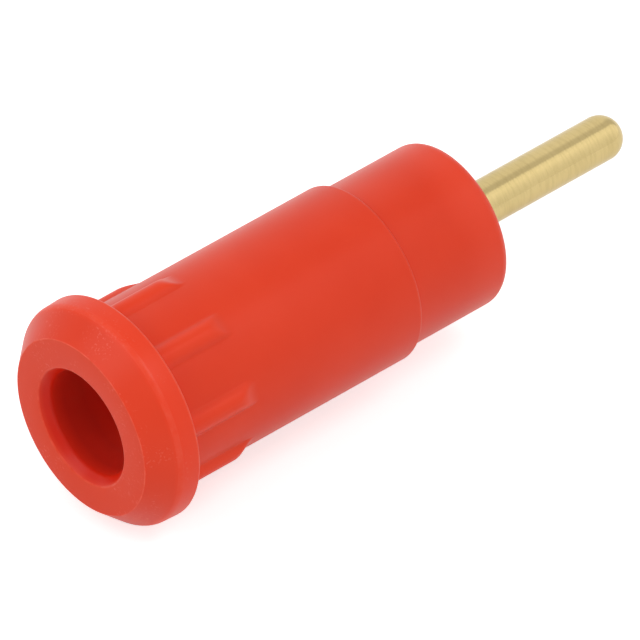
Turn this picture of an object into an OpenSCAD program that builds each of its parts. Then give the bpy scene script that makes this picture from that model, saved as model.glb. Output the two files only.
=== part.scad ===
// Press-in panel socket for 4 mm banana plugs: a moulded red housing round a turned, gold-plated contact.
// The plug goes in at the front, -Y, and the solder pin leaves at the back, +Y.
// The origin is on the axis, in the plane where the back of the flange seats on the panel.

/* [Plug and contact] */
// Diameter of the contact's bore for the plug
plug_bore_d = 4; // [3:0.1:5]
// Wall of the contact's sleeve round the plug
sleeve_wall = 0.6; // [0.48:0.02:0.8]
// Metal between the end of the bore and the back shoulder of the contact
contact_floor = 2.1; // [1.8:0.1:3]
// Depth of the lead-in cone at the front of the contact's bore
contact_lead = 0.3; // [0.1:0.05:0.4]
// Point angle of the drill that leaves the end of the bore
drill_angle = 118; // [90:1:140]
// Chamfer on the outer edges of the contact
contact_chamfer = 0.1; // [0.05:0.01:0.15]

/* [Solder pin] */
// Diameter of the solder pin
pin_d = 2; // [1:0.1:3]
// Length of the pin beyond the back end of the housing, with its round end
pin_len = 9.25; // [3:0.05:20]

/* [Retaining barbs] */
// Number of barbs on the contact
barb_count = 3; // [1:1:4]
// Distance from one barb to the next
barb_pitch = 0.8; // [0.5:0.05:1]
// Height of a barb above the sleeve
barb_h = 0.15; // [0.05:0.01:0.2]
// Distance from the last barb to the back shoulder of the contact
barb_set_back = 1; // [0.6:0.1:2]

/* [Barrel] */
// Diameter of the barrel that passes through the panel
barrel_d = 8.05; // [6.6:0.05:12]
// Length of the barrel from the panel seat to the step
barrel_len = 13.05; // [9:0.05:30]
// Drop in radius at the step to the rear section
step_h = 0.3; // [0.1:0.05:0.4]
// Length of the rear section behind the step
rear_len = 5.15; // [3:0.05:12]
// Rounding of the step's edge
step_edge_r = 0.2; // [0.05:0.01:0.3]
// Rounding of the back end of the housing
end_edge_r = 0.54; // [0.1:0.02:0.8]

/* [Flange] */
// How far the flange stands out beyond the barrel
flange_overhang = 1.03; // [0.6:0.01:3]
// Thickness of the flange, from the front face to the panel seat
flange_t = 2.15; // [1.7:0.05:5]
// How far the front face is set in from the rim
face_inset = 1.05; // [0.3:0.05:1.2]
// Slope of the front cone, from the axis
cone_angle = 41.6; // [35:0.2:60]
// Draft of the rim
rim_draft = 2.5; // [0:0.5:4]
// Rounding between the cone and the rim
rim_edge_r = 0.45; // [0.05:0.01:0.5]
// Rounding of the front face's outer edge
face_edge_r = 0.08; // [0.03:0.01:0.2]
// Rounding of the flange's back edge
back_edge_r = 0.1; // [0.02:0.01:0.15]

/* [Mouth] */
// Gap all round between a plug and the guide bore in the housing
guide_gap = 0.375; // [0.2:0.005:0.42]
// Length of the guide bore, from the countersink to the contact
guide_len = 3.3; // [2:0.1:5]
// Width of the countersink round the guide bore
sink_w = 0.315; // [0.1:0.005:0.5]
// Depth of the countersink
sink_depth = 0.45; // [0.2:0.05:1]
// Rounding of the mouth's edge
mouth_edge_r = 0.12; // [0.02:0.01:0.15]
// Rounding where the countersink runs into the guide bore
sink_end_r = 0.35; // [0.05:0.05:0.5]

/* [Rear pocket] */
// Depth of the contact's back shoulder below the end of the housing
pocket_depth = 0.9; // [0.3:0.1:2]
// Lead-in chamfer at the back of the housing, where the contact is pressed in
pocket_lead = 0.15; // [0.05:0.01:0.2]
// Gap all round between the contact and its chamber
contact_gap = 0.02; // [0.01:0.005:0.05]

/* [Grip ribs] */
// Number of ribs that grip the panel hole
rib_count = 8; // [3:1:12]
// Height of a rib above the barrel
rib_h = 0.31; // [0.1:0.01:0.5]
// Width of a rib where it meets the barrel
rib_w = 1.08; // [0.8:0.02:1.5]
// Length of a rib at full height, from the panel seat
rib_len = 3.1; // [1:0.05:6]
// Length over which a rib runs out into the barrel
rib_run_out = 0.9; // [0.3:0.05:1.5]
// Turn of the first rib about the axis
rib_turn = 30; // [0:1:45]

/* [Hidden] */
$fn = 96;

// Steps in the arc of a small rounding, and of the pin's round end
edge_steps = 6;
end_steps = 12;
// How deep each rib is rooted in the barrel and the flange, and how far its outline stands clear of its crest
rib_root = 0.3;
rib_clear = 0.05;

// Radii, from the plug outwards
plug_r = plug_bore_d / 2;
pin_r = pin_d / 2;
contact_r = plug_r + sleeve_wall;
chamber_r = contact_r + contact_gap;
guide_r = plug_r + guide_gap;
mouth_r = guide_r + sink_w;
barrel_r = barrel_d / 2;
rear_r = barrel_r - step_h;
flange_r = barrel_r + flange_overhang;
face_r = flange_r - face_inset;
rib_r = barrel_r + rib_h;

// Roundness of a rib: the arc over its crest that meets the barrel at its width
rib_drop = rib_r - sqrt(pow(barrel_r, 2) - pow(rib_w / 2, 2));
rib_crown_r = (pow(rib_w / 2, 2) + pow(rib_drop, 2)) / (2 * rib_drop);

// Places along the axis, from the panel seat
front_z = -flange_t;
sink_z = front_z + sink_depth;
contact_z = sink_z + guide_len;
end_z = barrel_len + rear_len;
shoulder_z = end_z - pocket_depth;
bore_end_z = shoulder_z - contact_floor;
drill_tip_z = bore_end_z + plug_r / tan(drill_angle / 2);
tip_z = end_z + pin_len;
barb_z = shoulder_z - barb_set_back - barb_count * barb_pitch;

// Slope of the countersink, from the axis
sink_angle = atan(sink_w / sink_depth);
// Roundings that the wall beside them can limit
step_round = min(step_edge_r, 0.9 * step_h);
end_round = min(end_edge_r, 0.85 * (rear_r - chamber_r - pocket_lead));

// Points of an arc about a centre, from one angle to another
function arc(centre, r, from, to, steps) = [
    for (i = [0:steps])
        let (a = from + (to - from) * i / steps)
        centre + r * [cos(a), sin(a)]
];

// Rounding of radius r between two edges, each given by the angle of its outward normal and a point on it
function rounding(normal_a, point_a, normal_b, point_b, r) =
    let (
        a = [cos(normal_a), sin(normal_a)],
        b = [cos(normal_b), sin(normal_b)],
        reach_a = a * point_a - r,
        reach_b = b * point_b - r,
        turn = sin(normal_b - normal_a),
        centre = [reach_a * b.y - reach_b * a.y, reach_b * a.x - reach_a * b.x] / turn
    )
    arc(centre, r, normal_a, normal_b, edge_steps);

// Saw-toothed outline of the barbs, front to back, with a gap all round it.
// Each tooth rises towards the back and drops square, so the contact goes in from the back and stays.
function barbs(r, gap) = [
    for (i = [0:barb_count - 1])
        let (z = barb_z + i * barb_pitch)
        each [[r, z + gap], [r + barb_h, z + barb_pitch + gap], [r, z + barb_pitch + gap]]
];

function reversed(points) = [for (i = [len(points) - 1:-1:0]) points[i]];

// Half section of the housing: radius across, axis upwards
flange_outline = concat(
    rounding(-90, [face_r, front_z], -cone_angle, [face_r, front_z], face_edge_r),
    rounding(-cone_angle, [face_r, front_z], -rim_draft, [flange_r, 0], rim_edge_r),
    rounding(-rim_draft, [flange_r, 0], 90, [flange_r, 0], back_edge_r)
);
barrel_outline = concat(
    [[barrel_r, 0]],
    rounding(0, [barrel_r, barrel_len], 90, [barrel_r, barrel_len], step_round),
    [[rear_r, barrel_len]],
    rounding(0, [rear_r, end_z], 90, [rear_r, end_z], end_round)
);
chamber_outline = concat(
    [[chamber_r + pocket_lead, end_z], [chamber_r, end_z - pocket_lead]],
    reversed(barbs(chamber_r, contact_gap)),
    [[chamber_r, contact_z]]
);
mouth_outline = concat(
    [[guide_r, contact_z]],
    rounding(180, [guide_r, sink_z], 180 + sink_angle, [guide_r, sink_z], sink_end_r),
    rounding(180 + sink_angle, [mouth_r, front_z], 270, [mouth_r, front_z], mouth_edge_r)
);

// Half section of the contact: the sleeve, its barbs, the solder pin and the drilled bore
sleeve_outline = concat(
    [
        [plug_r + contact_lead, contact_z],
        [contact_r - contact_chamfer, contact_z],
        [contact_r, contact_z + contact_chamfer]
    ],
    barbs(contact_r, 0),
    [[contact_r, shoulder_z - contact_chamfer], [contact_r - contact_chamfer, shoulder_z]]
);
pin_outline = concat(
    [[pin_r, shoulder_z]],
    arc([0, tip_z - pin_r], pin_r, 0, 90, end_steps)
);
bore_outline = [[0, drill_tip_z], [plug_r, bore_end_z], [plug_r, contact_z + contact_lead]];

// Half section that a rib is kept within: clear of its crest, then running out into the barrel
rib_outline = [
    [barrel_r - rib_root, -rib_root],
    [rib_r + rib_clear, -rib_root],
    [rib_r + rib_clear, rib_len - rib_clear * rib_run_out / rib_h],
    [barrel_r, rib_len + rib_run_out],
    [barrel_r - rib_root, rib_len + rib_run_out]
];

// A rib is the crown of a rod let into the barrel
module rib() {
    intersection() {
        rotate_extrude() polygon(rib_outline);
        translate([rib_r - rib_crown_r, 0, -rib_root])
            cylinder(r = rib_crown_r, h = rib_root + rib_len + rib_run_out);
    }
}

// Lays a part that is made upright along the socket's axis, its top towards the back
module along_axis() {
    rotate([-90, 0, 0]) children();
}

module housing() {
    color("#e04a34")
        along_axis() {
            rotate_extrude()
                polygon(concat(flange_outline, barrel_outline, chamber_outline, mouth_outline));
            for (i = [0:rib_count - 1])
                rotate(rib_turn + i * 360 / rib_count) rib();
        }
}

module contact() {
    color("#d4bf83")
        along_axis()
            rotate_extrude()
                polygon(concat(sleeve_outline, pin_outline, bore_outline));
}

housing();
contact();
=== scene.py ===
import math
from typing import NamedTuple

import bmesh
import bpy
from mathutils import Matrix, Vector


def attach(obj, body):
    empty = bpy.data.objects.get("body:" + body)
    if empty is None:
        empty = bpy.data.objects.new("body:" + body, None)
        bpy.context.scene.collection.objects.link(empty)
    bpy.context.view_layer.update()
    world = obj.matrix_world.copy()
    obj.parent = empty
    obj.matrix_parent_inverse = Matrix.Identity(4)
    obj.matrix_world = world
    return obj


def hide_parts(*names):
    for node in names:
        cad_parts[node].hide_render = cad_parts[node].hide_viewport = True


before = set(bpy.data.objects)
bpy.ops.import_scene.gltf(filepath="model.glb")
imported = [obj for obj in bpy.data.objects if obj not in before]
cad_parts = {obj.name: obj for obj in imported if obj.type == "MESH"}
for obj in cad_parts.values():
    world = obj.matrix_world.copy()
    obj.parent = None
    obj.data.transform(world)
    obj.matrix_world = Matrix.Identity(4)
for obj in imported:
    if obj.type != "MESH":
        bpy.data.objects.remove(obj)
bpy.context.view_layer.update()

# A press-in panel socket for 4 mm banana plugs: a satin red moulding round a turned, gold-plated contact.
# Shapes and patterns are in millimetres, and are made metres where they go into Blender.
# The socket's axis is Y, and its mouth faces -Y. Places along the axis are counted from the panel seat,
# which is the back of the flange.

MM = 0.001
# Points nearer to each other than this are the same point
NEAR = 1e-4

# Radii of the contact
BORE_R = 2.0
SLEEVE_R = BORE_R + 0.60
PIN_R = 1.0

# Radii of the housing, and the gap all round the contact in its chamber
BARREL_R = 4.025
REAR_R = BARREL_R - 0.30
FLANGE_R = BARREL_R + 1.025
FACE_R = FLANGE_R - 1.045
GUIDE_R = BORE_R + 0.375
MOUTH_R = GUIDE_R + 0.315
CHAMBER_GAP = 0.02
CHAMBER_R = SLEEVE_R + CHAMBER_GAP

# Places along the axis, front to back. The contact's bore ends in the point that a drill leaves.
FRONT = -2.15
SINK_END = FRONT + 0.45
CHAMBER_START = SINK_END + 3.30
STEP = 13.05
END = STEP + 5.15
SHOULDER = END - 0.90
BORE_END = SHOULDER - 2.10
DRILL_TIP = BORE_END + 1.202
PIN_TIP = END + 9.25

# Slopes of the flange's front cone and of its rim, from the axis
CONE = math.radians(41.6)
RIM_DRAFT = math.radians(2.5)

# Roundings at the ends of the barrel's skin: its foot on the flange, and the step
FOOT_ROUNDING = 0.08
STEP_ROUNDING = 0.20

# Lead-ins of the rear pocket and of the contact's bore, and the chamfer on the contact's outer edges
POCKET_LEAD = 0.15
BORE_LEAD = 0.30
CHAMFER = 0.10

# Barbs that hold the contact in the housing
BARBS = 3
BARB_PITCH = 0.80
BARB_H = 0.15
BARB_SET_BACK = 1.0
BARB_START = SHOULDER - BARB_SET_BACK - BARBS * BARB_PITCH

# Grip ribs behind the flange, each at full height for its length and then run out
RIBS = 8
FIRST_RIB = math.radians(15)
RIB_H = 0.31
RIB_W = 1.08
RIB_LEN = 3.18
RIB_RUN_OUT = 0.68
# How widely a rib is blended into the barrel at its foot and at its end
FOOT_SOFTNESS = 0.16
END_SOFTNESS = 0.12
# The stretch of barrel that is cut into rings, so that the ribs can be raised from it
RIB_ZONE = 4.16
RIB_RINGS = 52

# Marks that the tool leaves on the pin: where they start, their feed and depth,
# and how much of that depth each quarter of a mark has
MARKS_START = SHOULDER + 0.30
FEED = 0.14
FEED_DEPTH = 0.004
GROOVE = (0.0, 0.5, 1.0, 0.5)

# Steps round the axis, a multiple of eight, and along the pin's round end
HOUSING_STEPS = 512
CONTACT_STEPS = 128
PIN_END_STEPS = 24
# An edge that turns by more than this stays sharp
SHARP = math.radians(32)

# Reds of the moulding, as Blender's linear colours
DEEP_RED = (0.775, 0.045, 0.011, 1)
PALE_RED = (0.815, 0.053, 0.015, 1)
# Painted light on the proud ribs
RIB_PAINTED_LIGHT_RED = (0.845, 0.054, 0.0145, 1)
# Painted glow on the thin rim of the flange
RIM_PAINTED_GLOW_RED = (0.875, 0.055, 0.0155, 1)
# Painted glow on the thin rear end
REAR_PAINTED_GLOW_RED = (0.845, 0.062, 0.023, 1)
# Painted shade on the flat face
FACE_PAINTED_SHADE_RED = (0.765, 0.041, 0.004, 1)
SCUFFED_RED = (0.90, 0.17, 0.11, 1)
# A painted highlight along the rounded edges
EDGE_HIGHLIGHT_RED = (0.90, 0.13, 0.075, 1)
# Painted shade and light down the mouth, from just inside the front to the end of the guide bore
MOUTH_PAINTED_SHADE_REDS = (
    (0.07, (0.73, 0.016, 0.001, 1)),
    (0.13, (0.73, 0.027, 0.011, 1)),
    (0.30, (0.60, 0.020, 0.010, 1)),
    (0.60, (0.67, 0.025, 0.014, 1)),
    (0.80, (0.88, 0.036, 0.018, 1)),
    (1.00, (0.93, 0.038, 0.019, 1)),
)

# Half the width of the seam where one red gives way to another
SEAM = 0.05

# Golds of the plating
DEEP_GOLD = (0.670, 0.518, 0.230, 1)
PALE_GOLD = (0.720, 0.558, 0.255, 1)
DULL_GOLD = (0.55, 0.42, 0.175, 1)
# How fine the tool's rings are across the axis and along it, to the millimetre
RINGS = (1.3, 8.0, 1.3)

WHITE = (1, 1, 1, 1)
PAPER = (0.83, 0.83, 0.83, 1)

# Half the side of the floor, and how far the lamps stand from the socket, both in metres
FLOOR_REACH = 1.5
LAMP_DISTANCE = 0.5
# Power to the square metre that makes a lamp's face as bright as white
LAMP_POWER = 4

# The surround: its level as light and in reflections, how far its panels are turned from front to back,
# where they start and end across the scene, and how bright they are on the way
LIGHT_LEVEL = 0.81
MIRRORED_LEVEL = 1.2
PANEL_TURN = 0.6
PANELS_START = -0.69
PANELS_END = 1.31
PANELS = ((0.31, 0.80), (0.41, 0.61), (0.56, 0.61), (0.60, 0.93), (0.73, 0.99), (0.81, 0.92), (0.92, 0.78))


class Corner(NamedTuple):
    """A corner of an outline, with its rounding and how strongly a highlight is painted on its edge."""
    radius: float
    place: float
    rounding: float = 0.0
    segments: int = 0
    edge_highlight: float = 0.0

    def point(self):
        return Vector((self.radius, self.place))


def round_off(outline, corner, before, here, after):
    """Rounds a corner of an outline, and paints a highlight on the crown of the rounding, but not on its
    ends.
    """
    into = (here.point() - before.point()).normalized()
    onward = (after.point() - here.point()).normalized()
    reach = here.rounding * math.tan(into.angle(onward) / 2)
    ends = (here.point() - into * reach, here.point() + onward * reach)
    arc = bmesh.ops.bevel(outline, geom=[corner], offset=reach, offset_type="OFFSET", segments=here.segments,
                          profile=0.5, affect="VERTICES", material=-1)["verts"]
    highlight_layer = outline.verts.layers.float["edge_highlight"]
    for vert in arc:
        at_end = min((vert.co.xy - end).length for end in ends) <= NEAR
        vert[highlight_layer] = 0.0 if at_end else here.edge_highlight


def half_section(corners, closed):
    """Draws a wire outline in a plane through the axis, and rounds its corners."""
    outline = bmesh.new()
    outline.verts.layers.float.new("edge_highlight")
    verts = [outline.verts.new((corner.radius, corner.place, 0)) for corner in corners]
    followers = verts[1:] + verts[:1] if closed else verts[1:]
    for vert, follower in zip(verts, followers):
        outline.edges.new((vert, follower))
    for i, corner in enumerate(corners):
        if corner.rounding:
            round_off(outline, verts[i], corners[i - 1], corner, corners[(i + 1) % len(corners)])
    return outline


def turned(outline, steps, start=0.0):
    """Spins an outline about the axis into a closed skin: an eighth of a turn, then doubled three times."""
    centre = (0, 0, 0)
    bmesh.ops.rotate(outline, verts=outline.verts, cent=centre, matrix=Matrix.Rotation(-start, 3, "Y"))
    bmesh.ops.spin(outline, geom=outline.verts[:] + outline.edges[:], cent=centre, axis=(0, 1, 0),
                   angle=math.pi / 4, steps=steps // 8, use_merge=False, use_duplicate=False)
    for turn in (math.pi / 4, math.pi / 2, math.pi):
        skin = outline.verts[:] + outline.edges[:] + outline.faces[:]
        copy = bmesh.ops.duplicate(outline, geom=skin)["geom"]
        bmesh.ops.rotate(outline, verts=[part for part in copy if isinstance(part, bmesh.types.BMVert)],
                         cent=centre, matrix=Matrix.Rotation(turn, 3, "Y"))
    bmesh.ops.remove_doubles(outline, verts=outline.verts, dist=NEAR)
    bmesh.ops.recalc_face_normals(outline, faces=outline.faces)
    return outline


def finished(name, shape, material):
    """Makes a shape an object in metres, smooth but for its true corners."""
    bmesh.ops.scale(shape, vec=(MM, MM, MM), verts=shape.verts)
    for face in shape.faces:
        face.smooth = True
    for edge in shape.edges:
        edge.smooth = edge.is_manifold and edge.calc_face_angle() < SHARP
    mesh = bpy.data.meshes.new(name)
    shape.to_mesh(mesh)
    shape.free()
    mesh.materials.append(material)
    piece = bpy.data.objects.new(name, mesh)
    bpy.context.scene.collection.objects.link(piece)
    even = piece.modifiers.new("even_normals", "WEIGHTED_NORMAL")
    even.keep_sharp = True
    even.weight = 60
    return piece


def soft_min(a, b, blend):
    """The smaller of two values, eased where they come within the blend of each other."""
    closeness = max(blend - abs(a - b), 0) / blend
    return min(a, b) - closeness * closeness * blend / 4


def soft_max(a, b, blend):
    """The larger of two values, eased in the same way."""
    return -soft_min(-a, -b, blend)


def rib_height(turn, place):
    """Height above the barrel at an angle from a rib's middle and a place along the axis.
    A rib is the crown of a rod let into the barrel, and runs out at its end."""
    drop = BARREL_R + RIB_H - math.sqrt(BARREL_R ** 2 - (RIB_W / 2) ** 2)
    crown_r = ((RIB_W / 2) ** 2 + drop ** 2) / (2 * drop)
    centre = BARREL_R + RIB_H - crown_r
    rise = math.sqrt(max(crown_r ** 2 - (centre * math.sin(turn)) ** 2, 0))
    crown = soft_max(centre * math.cos(turn) + rise - BARREL_R, 0, FOOT_SOFTNESS)
    run_out = soft_max(RIB_H * (RIB_LEN + RIB_RUN_OUT - place) / RIB_RUN_OUT, 0, END_SOFTNESS)
    return max(soft_min(crown, run_out, END_SOFTNESS), 0)


def raise_ribs(shape):
    """Lifts the barrel's skin behind the flange, with the rounding at its foot, into ribs with soft edges."""
    pitch = 2 * math.pi / RIBS
    for vert in shape.verts:
        radius = math.hypot(vert.co.x, vert.co.z)
        on_skin = BARREL_R - NEAR < radius < BARREL_R + FOOT_ROUNDING + NEAR
        if on_skin and -NEAR < vert.co.y < RIB_ZONE:
            angle = math.atan2(vert.co.z, vert.co.x) - FIRST_RIB
            turn = abs((angle + pitch / 2) % pitch - pitch / 2)
            lift = 1 + rib_height(turn, vert.co.y) / radius
            vert.co.x *= lift
            vert.co.z *= lift


def barb_corners(radius, gap):
    """Saw-tooth corners of the barbs, front to back, or of the grooves that they sit in with a gap."""
    corners = []
    for i in range(BARBS):
        start = BARB_START + i * BARB_PITCH + gap
        end = start + BARB_PITCH
        corners += [Corner(radius, start), Corner(radius + BARB_H, end), Corner(radius, end)]
    return corners


def moulded_housing(material):
    """Flange, ribbed barrel and rear section, with the mouth, the chamber and the rear pocket inside."""
    cone_rise, rim_rise = math.tan(CONE), math.tan(RIM_DRAFT)
    rim_front = FRONT + (FLANGE_R - FACE_R + FRONT * rim_rise) / (cone_rise - rim_rise)
    rim_r = FACE_R + (rim_front - FRONT) * cone_rise
    corners = [
        Corner(MOUTH_R, FRONT, rounding=0.12, segments=5, edge_highlight=0.3),
        Corner(FACE_R, FRONT, rounding=0.08, segments=5, edge_highlight=0.6),
        Corner(rim_r, rim_front, rounding=0.45, segments=10, edge_highlight=0.18),
        Corner(FLANGE_R, 0, rounding=0.14, segments=7, edge_highlight=0.5),
        Corner(BARREL_R, 0, rounding=FOOT_ROUNDING, segments=4),
        *(Corner(BARREL_R, RIB_ZONE * i / RIB_RINGS) for i in range(1, RIB_RINGS + 1)),
        Corner(BARREL_R, STEP, rounding=STEP_ROUNDING, segments=7, edge_highlight=0.06),
        Corner(REAR_R, STEP, rounding=0.04, segments=3),
        Corner(REAR_R, END, rounding=0.54, segments=12),
        Corner(CHAMBER_R + POCKET_LEAD, END, rounding=0.03, segments=3),
        Corner(CHAMBER_R, END - POCKET_LEAD),
        *reversed(barb_corners(CHAMBER_R, CHAMBER_GAP)),
        Corner(CHAMBER_R, CHAMBER_START),
        Corner(GUIDE_R, CHAMBER_START, rounding=0.03, segments=3),
        Corner(GUIDE_R, SINK_END, rounding=0.35, segments=6),
    ]
    shape = turned(half_section(corners, closed=True), HOUSING_STEPS, FIRST_RIB)
    raise_ribs(shape)
    return finished("moulded_housing", shape, material)


def turning_marks(start, end):
    """Rings that the tool leaves along the pin, one to each turn of the lathe."""
    marks = []
    for i in range(int((end - start) / FEED)):
        for quarter, depth in enumerate(GROOVE):
            marks.append(Corner(PIN_R - FEED_DEPTH * depth, start + FEED * (i + quarter / len(GROOVE))))
    return marks


def add_round_end(outline):
    """Adds the pin's hemispherical end to the contact's outline, and joins it to the last turning mark."""
    centre = PIN_TIP - PIN_R
    tip = outline.verts.new((0, PIN_TIP, 0))
    bmesh.ops.spin(outline, geom=[tip], cent=(0, centre, 0), axis=(0, 0, 1), angle=-math.pi / 2,
                   steps=PIN_END_STEPS, use_merge=False, use_duplicate=False)
    loose_ends = [vert for vert in outline.verts
                  if len(vert.link_edges) == 1 and vert.co.x > PIN_R / 2 and vert.co.y > centre - 2 * PIN_R]
    outline.edges.new(loose_ends)


def turned_contact(material):
    """Sleeve with a drilled bore and barbs, and the solder pin behind it, turned in one."""
    corners = [
        Corner(0, DRILL_TIP),
        Corner(BORE_R, BORE_END),
        Corner(BORE_R, CHAMBER_START + BORE_LEAD, rounding=0.04, segments=3),
        Corner(BORE_R + BORE_LEAD, CHAMBER_START, rounding=0.03, segments=3),
        Corner(SLEEVE_R - CHAMFER, CHAMBER_START),
        Corner(SLEEVE_R, CHAMBER_START + CHAMFER),
        *barb_corners(SLEEVE_R, 0),
        Corner(SLEEVE_R, SHOULDER - CHAMFER),
        Corner(SLEEVE_R - CHAMFER, SHOULDER),
        Corner(PIN_R, SHOULDER, rounding=0.06, segments=4),
        *turning_marks(MARKS_START, PIN_TIP - PIN_R),
    ]
    outline = half_section(corners, closed=False)
    add_round_end(outline)
    return finished("turned_contact", turned(outline, CONTACT_STEPS), material)


class Shading:
    """The nodes of a material or of the world, with short ways to add one and feed it."""

    def __init__(self, owner):
        owner.use_nodes = True
        self.nodes = owner.node_tree.nodes
        self.links = owner.node_tree.links

    def feed(self, socket, value):
        """Links a socket to another node's output, or sets it to a plain value."""
        if isinstance(value, bpy.types.NodeSocket):
            self.links.new(value, socket)
        else:
            socket.default_value = value

    def place(self):
        """Place on the object, in millimetres."""
        metres = self.nodes.new("ShaderNodeTexCoord").outputs["Object"]
        return self.scaled(metres, (1 / MM, 1 / MM, 1 / MM))

    def scaled(self, place, factors):
        """A place with each of its parts multiplied by its own factor."""
        scaling = self.nodes.new("ShaderNodeVectorMath")
        scaling.operation = "MULTIPLY"
        self.feed(scaling.inputs[0], place)
        self.feed(scaling.inputs[1], factors)
        return scaling.outputs["Vector"]

    def from_axis(self, place):
        """Distance from the socket's axis, and place along it."""
        parts = self.nodes.new("ShaderNodeSeparateXYZ")
        self.feed(parts.inputs["Vector"], place)
        length = self.nodes.new("ShaderNodeVectorMath")
        length.operation = "LENGTH"
        self.feed(length.inputs[0], self.scaled(place, (1, 0, 1)))
        return length.outputs["Value"], parts.outputs["Y"]

    def noise(self, place, scale, detail):
        """Soft uneven spots, about as many to the millimetre as the scale says."""
        texture = self.nodes.new("ShaderNodeTexNoise")
        self.feed(texture.inputs["Vector"], place)
        self.feed(texture.inputs["Scale"], scale)
        self.feed(texture.inputs["Detail"], detail)
        return texture.outputs["Fac"]

    def ramp(self, value, stops):
        """Colours along a value from 0 to 1."""
        colours = self.nodes.new("ShaderNodeValToRGB")
        first, last = colours.color_ramp.elements
        first.position, first.color = stops[0]
        last.position, last.color = stops[-1]
        for position, colour in stops[1:-1]:
            colours.color_ramp.elements.new(position).color = colour
        self.feed(colours.inputs["Fac"], value)
        return colours.outputs["Color"]

    def spread(self, value, low, high, start=0.0, end=1.0, smooth=False):
        """Goes from low to high as the value goes from start to end."""
        change = self.nodes.new("ShaderNodeMapRange")
        change.interpolation_type = "SMOOTHSTEP" if smooth else "LINEAR"
        self.feed(change.inputs["Value"], value)
        self.feed(change.inputs["From Min"], start)
        self.feed(change.inputs["From Max"], end)
        self.feed(change.inputs["To Min"], low)
        self.feed(change.inputs["To Max"], high)
        return change.outputs["Result"]

    def rise(self, value, start, end, smooth=False):
        """Goes from 0 to 1 as the value goes from start to end."""
        return self.spread(value, 0.0, 1.0, start, end, smooth)

    def fall(self, value, start, end):
        """Goes from 1 to 0 as the value goes from start to end."""
        return self.spread(value, 1.0, 0.0, start, end)

    def maths(self, operation, first, second):
        """One sum on two values."""
        step = self.nodes.new("ShaderNodeMath")
        step.operation = operation
        self.feed(step.inputs[0], first)
        self.feed(step.inputs[1], second)
        return step.outputs["Value"]

    def product(self, first, second):
        return self.maths("MULTIPLY", first, second)

    def larger(self, first, second):
        return self.maths("MAXIMUM", first, second)

    def blend(self, amount, first, second):
        """Goes from the first colour to the second as the amount goes from 0 to 1."""
        mix = self.nodes.new("ShaderNodeMix")
        mix.data_type = "RGBA"
        self.feed(mix.inputs["Factor"], amount)
        self.feed(mix.inputs["A"], first)
        self.feed(mix.inputs["B"], second)
        return mix.outputs["Result"]

    def bump(self, height, strength, distance):
        relief = self.nodes.new("ShaderNodeBump")
        self.feed(relief.inputs["Height"], height)
        self.feed(relief.inputs["Strength"], strength)
        self.feed(relief.inputs["Distance"], distance)
        return relief.outputs["Normal"]


def moulding_red(shading, place):
    """The moulding's red, with a little uneven tone, and painted light, glow and shade on some parts of it.
    """
    radius, along = shading.from_axis(place)
    colour = shading.ramp(shading.noise(place, 0.26, 3), ((0.3, DEEP_RED), (0.7, PALE_RED)))
    # Painted light: the ribs stand proud, and are painted a little brighter than the barrel between them
    rib_painted_light = shading.rise(radius, BARREL_R + 0.005, BARREL_R + 0.245, smooth=True)
    behind_flange = shading.rise(along, -SEAM, SEAM)
    colour = shading.blend(shading.product(rib_painted_light, behind_flange), colour, RIB_PAINTED_LIGHT_RED)
    # Painted glow: the thin rim of the flange and the thin rear end are painted brighter, for light let
    # through them
    rim_painted_glow = shading.rise(radius, FLANGE_R - 0.30, FLANGE_R - 0.03, smooth=True)
    colour = shading.blend(rim_painted_glow, colour, RIM_PAINTED_GLOW_RED)
    rear_painted_glow = shading.rise(along, END - 2.6, END - 0.6, smooth=True)
    colour = shading.blend(rear_painted_glow, colour, REAR_PAINTED_GLOW_RED)
    # Painted shade: the flat face is painted a deeper red, and the mouth is painted darker and lighter down
    # its depth
    face = shading.fall(along, FRONT + 0.005, FRONT + 0.04)
    colour = shading.blend(face, colour, FACE_PAINTED_SHADE_RED)
    # Painted shade and light down the mouth, set by depth
    inside = shading.fall(radius, MOUTH_R - 0.14, MOUTH_R + 0.03)
    before_chamber = shading.fall(along, CHAMBER_START - SEAM, CHAMBER_START + SEAM)
    depth = shading.rise(along, FRONT + 0.15, CHAMBER_START - 0.40)
    return shading.blend(shading.product(inside, before_chamber), colour, shading.ramp(depth, MOUTH_PAINTED_SHADE_REDS))


def scuffs_and_edge_highlight(shading, place, colour):
    """Adds the pale scuffs on the front of the flange, and a painted highlight along the rounded edges."""
    radius, along = shading.from_axis(place)
    scuffs = shading.rise(shading.noise(place, 8.5, 2), 0.58, 0.70)
    patches = shading.spread(shading.noise(place, 0.7, 2), 0.0, 0.42, 0.46, 0.62)
    before_rim = shading.fall(along, -0.8, -0.3)
    outside_mouth = shading.rise(radius, MOUTH_R + 0.01, MOUTH_R + 0.11)
    scuffed = shading.product(shading.product(scuffs, patches), shading.product(before_rim, outside_mouth))
    colour = shading.blend(scuffed, colour, SCUFFED_RED)
    # Painted highlight: the rounded edges are painted paler, unevenly
    edge_highlight = shading.nodes.new("ShaderNodeAttribute")
    edge_highlight.attribute_name = "edge_highlight"
    uneven = shading.spread(shading.noise(place, 2.4, 3), 0.2, 1.5, 0.3, 0.7)
    return shading.blend(shading.product(edge_highlight.outputs["Fac"], uneven), colour, EDGE_HIGHLIGHT_RED)


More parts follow.
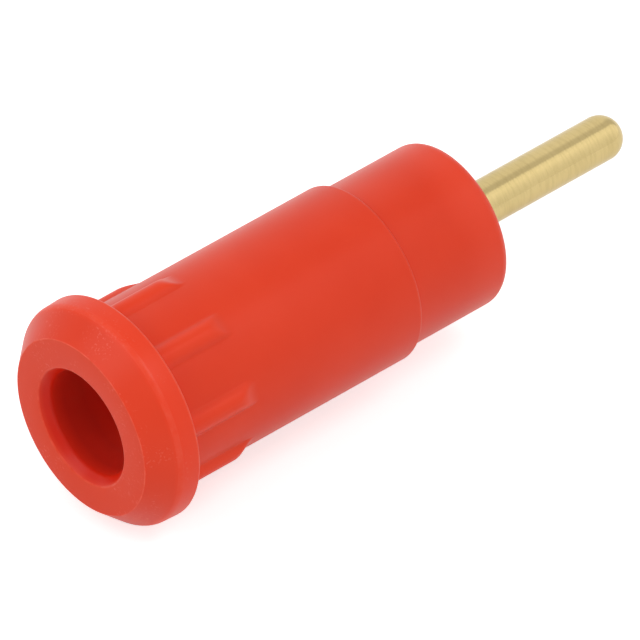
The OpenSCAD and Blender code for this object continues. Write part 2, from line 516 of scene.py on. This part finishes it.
def satin_red_plastic():
    material = bpy.data.materials.new("satin_red_plastic")
    shading = Shading(material)
    place = shading.place()
    grain = shading.noise(place, 14, 2)
    plastic = shading.nodes["Principled BSDF"].inputs
    shading.feed(plastic["Base Color"], scuffs_and_edge_highlight(shading, place, moulding_red(shading, place)))
    shading.feed(plastic["Roughness"], shading.spread(grain, 0.28, 0.38))
    shading.feed(plastic["Normal"], shading.bump(grain, 0.25, 0.004 * MM))
    plastic["Specular IOR Level"].default_value = 0.22
    plastic["Subsurface Weight"].default_value = 0.15
    plastic["Subsurface Radius"].default_value = (1.0, 0.25, 0.12)
    plastic["Subsurface Scale"].default_value = 0.6 * MM
    return material


def gold_plating():
    """Gold, clouded a little, with the fine uneven rings that the tool left round the axis."""
    material = bpy.data.materials.new("gold_plating")
    shading = Shading(material)
    place = shading.place()
    rings = shading.noise(shading.scaled(place, RINGS), 1, 2)
    dull = shading.spread(rings, 0.0, 0.3, 0.45, 0.65)
    colour = shading.ramp(shading.noise(place, 0.42, 3), ((0.3, DEEP_GOLD), (0.7, PALE_GOLD)))
    metal = shading.nodes["Principled BSDF"].inputs
    metal["Metallic"].default_value = 1.0
    shading.feed(metal["Base Color"], shading.blend(dull, colour, DULL_GOLD))
    shading.feed(metal["Roughness"], shading.spread(rings, 0.08, 0.20, 0.3, 0.7))
    shading.feed(metal["Normal"], shading.bump(rings, 0.5, 0.008 * MM))
    return material


def studio_floor():
    """Pale paper that glows a little, so that it is white where no shadow lies on it."""
    material = bpy.data.materials.new("studio_floor")
    shading = Shading(material)
    rays = shading.nodes.new("ShaderNodeLightPath").outputs
    seen = shading.spread(rays["Is Camera Ray"], 0.0, 0.62)
    mirrored = shading.spread(shading.larger(rays["Is Glossy Ray"], rays["Is Transmission Ray"]), 0.0, 0.24)
    paper = shading.nodes["Principled BSDF"].inputs
    paper["Base Color"].default_value = PAPER
    paper["Roughness"].default_value = 0.9
    paper["Specular IOR Level"].default_value = 0.1
    paper["Emission Color"].default_value = WHITE
    shading.feed(paper["Emission Strength"], shading.larger(seen, mirrored))
    return material


def lay_floor():
    """Lays the floor under the flange."""
    sheet = bmesh.new()
    bmesh.ops.create_grid(sheet, x_segments=1, y_segments=1, size=FLOOR_REACH)
    bmesh.ops.translate(sheet, verts=sheet.verts, vec=(0, 0, -FLANGE_R * MM))
    mesh = bpy.data.meshes.new("floor")
    sheet.to_mesh(mesh)
    sheet.free()
    mesh.materials.append(studio_floor())
    floor = bpy.data.objects.new("floor", mesh)
    bpy.context.scene.collection.objects.link(floor)


def set_world():
    """A white surround, a little dimmer in a strip overhead, between the lamps.
    Reflections find it brighter than the light that it gives."""
    world = bpy.data.worlds.new("studio")
    bpy.context.scene.world = world
    shading = Shading(world)
    rays = shading.nodes.new("ShaderNodeLightPath").outputs
    mirrored = shading.larger(rays["Is Glossy Ray"], rays["Is Transmission Ray"])
    level = shading.spread(mirrored, LIGHT_LEVEL, MIRRORED_LEVEL)
    way = shading.nodes.new("ShaderNodeSeparateXYZ")
    shading.feed(way.inputs["Vector"], shading.nodes.new("ShaderNodeTexCoord").outputs["Generated"])
    across = shading.maths("ADD", way.outputs["X"], shading.product(way.outputs["Y"], PANEL_TURN))
    greys = [(at, (grey, grey, grey, 1)) for at, grey in PANELS]
    panels = shading.ramp(shading.rise(across, PANELS_START, PANELS_END), greys)
    background = shading.nodes["Background"].inputs
    background["Color"].default_value = WHITE
    dimmed = shading.product(level, panels)
    shading.feed(background["Strength"], shading.larger(dimmed, rays["Is Camera Ray"]))


def softbox(name, direction, width, length, level):
    """An oblong lamp, in metres, that faces the socket from a direction, its length along the socket's axis.
    Its level is the brightness of its face, where white is 1."""
    lamp = bpy.data.lights.new(name, "AREA")
    lamp.shape = "RECTANGLE"
    lamp.size, lamp.size_y = width, length
    lamp.energy = level * LAMP_POWER * width * length
    out = Vector(direction).normalized()
    across = Vector((0, 1, 0)).cross(out).normalized()
    turn = Matrix((across, out.cross(across), out)).transposed().to_4x4()
    holder = bpy.data.objects.new(name, lamp)
    holder.matrix_world = Matrix.Translation(out * LAMP_DISTANCE) @ turn
    bpy.context.scene.collection.objects.link(holder)


def set_camera():
    """Views the socket as the photograph does, with the centre of its front face at the same pixel."""
    turn, tilt = math.radians(48.66), math.radians(39.39)
    frame_px, focal_px, px_per_mm = 640, 16000, 24.44
    face_px = Vector((80.7, 427.6))
    right = Vector((math.cos(turn), math.sin(turn), 0))
    look = Vector((-math.sin(turn) * math.cos(tilt), math.cos(turn) * math.cos(tilt), -math.sin(tilt)))
    up = right.cross(look)
    offset = (face_px - Vector((frame_px / 2, frame_px / 2))) / px_per_mm
    place = Vector((0, FRONT, 0)) - look * focal_px / px_per_mm - right * offset.x + up * offset.y
    lens = bpy.data.cameras.new("camera")
    lens.sensor_width = 36
    lens.lens = lens.sensor_width * focal_px / frame_px
    camera = bpy.data.objects.new("camera", lens)
    camera.matrix_world = Matrix.Translation(place * MM) @ Matrix((right, up, -look)).transposed().to_4x4()
    bpy.context.scene.collection.objects.link(camera)
    bpy.context.scene.camera = camera


set_camera()
set_world()
lay_floor()
softbox("key_softbox", (0.46, 0.12, 0.87), width=0.15, length=0.24, level=2.95)
softbox("front_softbox", (-0.25, -0.66, 0.68), width=0.36, length=0.36, level=1.2)

housing = moulded_housing(satin_red_plastic())
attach(housing, "root")
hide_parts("housing")

contact = turned_contact(gold_plating())
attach(contact, "root")
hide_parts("contact")

bpy.context.scene.view_settings.view_transform = "Standard"
